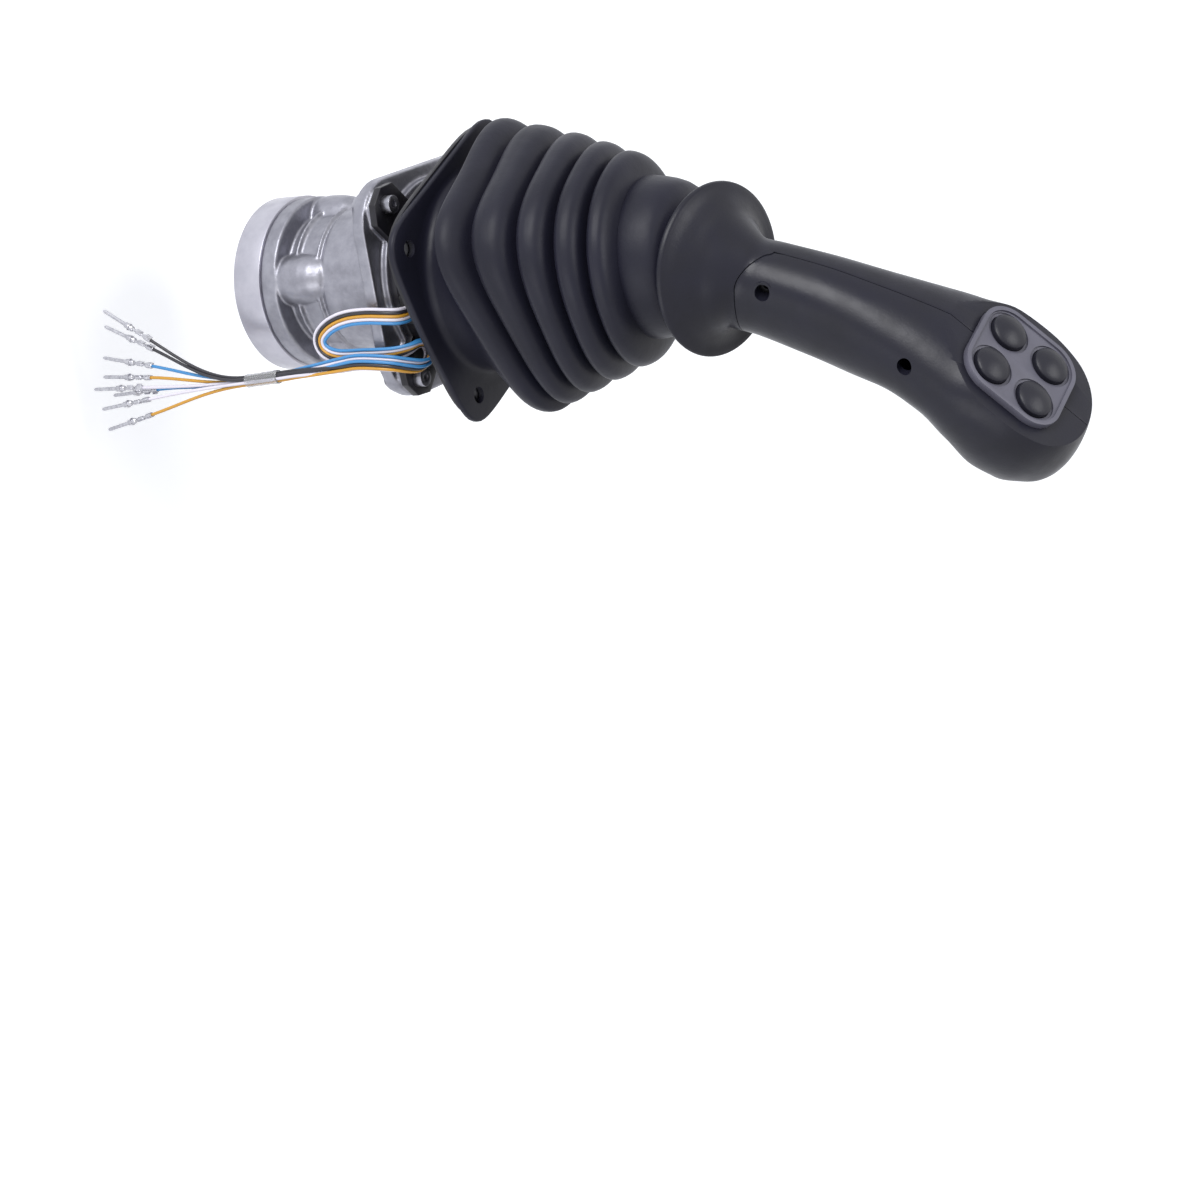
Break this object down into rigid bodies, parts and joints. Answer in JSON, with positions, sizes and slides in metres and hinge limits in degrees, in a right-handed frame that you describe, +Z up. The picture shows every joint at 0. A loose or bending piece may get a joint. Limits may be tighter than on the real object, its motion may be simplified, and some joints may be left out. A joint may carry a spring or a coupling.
{
  "type": "industrial joystick",
  "caption": "Hydraulic pilot joystick: four-spool cast valve, five-fold rubber boot, and a bent hand grip with four push buttons and eight wire leads.",
  "frame": {"origin": "centre of the underside of the boot plate, which lies on the console panel", "axes": "+Z up the valve axis towards the grip, +X the way the grip leans (forward), +Y to its left"},
  "size_m": [0.1569, 0.118, 0.3906],
  "materials": {
    "machined_steel": "satin",
    "cast_body": "satin",
    "black_plate": "satin",
    "zinc_screw": "polished",
    "dark_screw": "satin",
    "bronze_bush": "satin",
    "seal_rubber": "matte",
    "hardened_steel": "satin",
    "spring_steel": "satin",
    "forged_steel": "satin",
    "boot_rubber": "matte",
    "grip_plastic": "matte",
    "panel_plastic": "matte",
    "button_plastic": "matte",
    "board": "gloss",
    "switch_plastic": "matte",
    "tin_contact": "polished",
    "clear_sleeve": "gloss",
    "wire_black": "satin",
    "wire_blue": "satin",
    "wire_yellow": "satin",
    "wire_white": "satin"
  },
  "bodies": {
    "housing": {"port_block": "machined_steel", "port_seals": "seal_rubber", "valve_body": "cast_body", "body_bolts": "dark_screw", "top_plate": "black_plate", "plate_screws": "zinc_screw", "plunger_bushes": "bronze_bush", "plunger_seals": "seal_rubber", "lower_yoke": "forged_steel", "spacer_ring": "black_plate", "spacer_screws": "zinc_screw", "boot_plate": "black_plate", "boot_lower": "boot_rubber", "wire_grommet": "seal_rubber", "wire_run": "wire_white", "wire_sleeve": "clear_sleeve", "contact_pins": "tin_contact", "wire_1": "wire_black", "wire_2": "wire_black", "wire_3": "wire_blue", "wire_4": "wire_yellow", "wire_5": "wire_white", "wire_6": "wire_blue", "wire_7": "wire_white", "wire_8": "wire_yellow", "spring_front": "spring_steel", "spring_back": "spring_steel", "spring_left": "spring_steel", "spring_right": "spring_steel"},
    "gimbal": {"joint_cross": "hardened_steel"},
    "lever": {"swash_plate": "forged_steel", "lock_nut": "zinc_screw", "lever_rod": "hardened_steel", "boot_upper": "boot_rubber", "boot_collar": "switch_plastic", "grip_body": "grip_plastic", "grip_cover": "grip_plastic", "cover_screws": "dark_screw", "grip_core": "forged_steel", "button_panel": "panel_plastic", "switch_board": "board", "micro_switches": "switch_plastic"},
    "plunger_front_group": {"plunger_front": "hardened_steel", "spool_front": "hardened_steel"},
    "plunger_back_group": {"plunger_back": "hardened_steel", "spool_back": "hardened_steel"},
    "plunger_left_group": {"plunger_left": "hardened_steel", "spool_left": "hardened_steel"},
    "plunger_right_group": {"plunger_right": "hardened_steel", "spool_right": "hardened_steel"},
    "button_1_cap": {"button_1": "button_plastic"},
    "button_2_cap": {"button_2": "button_plastic"},
    "button_3_cap": {"button_3": "button_plastic"},
    "button_4_cap": {"button_4": "button_plastic"}
  },
  "joints": [
    {"name": "tilt_x", "type": "hinge", "parent": "housing", "child": "gimbal", "pos_m": [0, 0, 0.002], "axis": [1, 0, 0], "range_deg": [-19, 19], "stiffness_Nm_per_rad": 1.6, "deforming": ["boot_lower"]},
    {"name": "tilt_y", "type": "hinge", "parent": "gimbal", "child": "lever", "pos_m": [0, 0, 0.002], "axis": [0, 1, 0], "range_deg": [-19, 19], "stiffness_Nm_per_rad": 1.6, "deforming": ["boot_upper"]},
    {"name": "plunger_front_slide", "type": "slide", "parent": "housing", "child": "plunger_front_group", "axis": [0, 0, 1], "range_m": [-0.00664, 0.00664], "deforming": ["spring_front"]},
    {"name": "plunger_back_slide", "type": "slide", "parent": "housing", "child": "plunger_back_group", "axis": [0, 0, 1], "range_m": [-0.00664, 0.00664], "deforming": ["spring_back"]},
    {"name": "plunger_left_slide", "type": "slide", "parent": "housing", "child": "plunger_left_group", "axis": [0, 0, 1], "range_m": [-0.00664, 0.00664], "deforming": ["spring_left"]},
    {"name": "plunger_right_slide", "type": "slide", "parent": "housing", "child": "plunger_right_group", "axis": [0, 0, 1], "range_m": [-0.00664, 0.00664], "deforming": ["spring_right"]},
    {"name": "button_1_press", "type": "slide", "parent": "lever", "child": "button_1_cap", "axis": [0.5793, 0, -0.8151], "range_m": [0, 0.0015], "stiffness_N_per_m": 800, "springref_m": -0.001},
    {"name": "button_2_press", "type": "slide", "parent": "lever", "child": "button_2_cap", "axis": [0.5793, 0, -0.8151], "range_m": [0, 0.0015], "stiffness_N_per_m": 800, "springref_m": -0.001},
    {"name": "button_3_press", "type": "slide", "parent": "lever", "child": "button_3_cap", "axis": [0.5793, 0, -0.8151], "range_m": [0, 0.0015], "stiffness_N_per_m": 800, "springref_m": -0.001},
    {"name": "button_4_press", "type": "slide", "parent": "lever", "child": "button_4_cap", "axis": [0.5793, 0, -0.8151], "range_m": [0, 0.0015], "stiffness_N_per_m": 800, "springref_m": -0.001}
  ],
  "couplings": [
    {"joint": "plunger_front_slide", "follows": "tilt_y", "m_per_rad": -0.02},
    {"joint": "plunger_back_slide", "follows": "tilt_y", "m_per_rad": 0.02},
    {"joint": "plunger_left_slide", "follows": "tilt_x", "m_per_rad": 0.02},
    {"joint": "plunger_right_slide", "follows": "tilt_x", "m_per_rad": -0.02}
  ]
}
